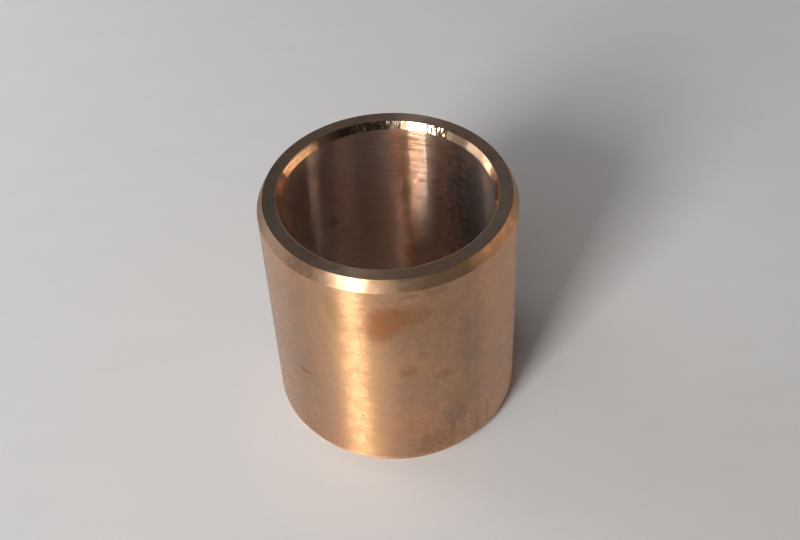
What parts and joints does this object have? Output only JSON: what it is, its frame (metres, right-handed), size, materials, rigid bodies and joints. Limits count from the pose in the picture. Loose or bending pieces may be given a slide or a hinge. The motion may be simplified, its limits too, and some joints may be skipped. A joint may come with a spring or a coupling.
{
  "type": "plain bronze bushing",
  "caption": "Plain turned bronze sleeve bushing with a smooth bore, steep lead-in chamfers outside and small chamfers at the bore's mouths.",
  "frame": {"origin": "middle of the lower end face, on the bore's axis", "axes": "+Z along the bore's axis, from the lower end face to the upper one; the sleeve is the same all the way round"},
  "size_m": [0.043, 0.043, 0.045],
  "materials": {
    "bronze": "fine-turned bronze, satin, with heat tint and a few oil stains"
  },
  "bodies": {
    "root": {"bushing": "bronze"}
  },
  "joints": []
}
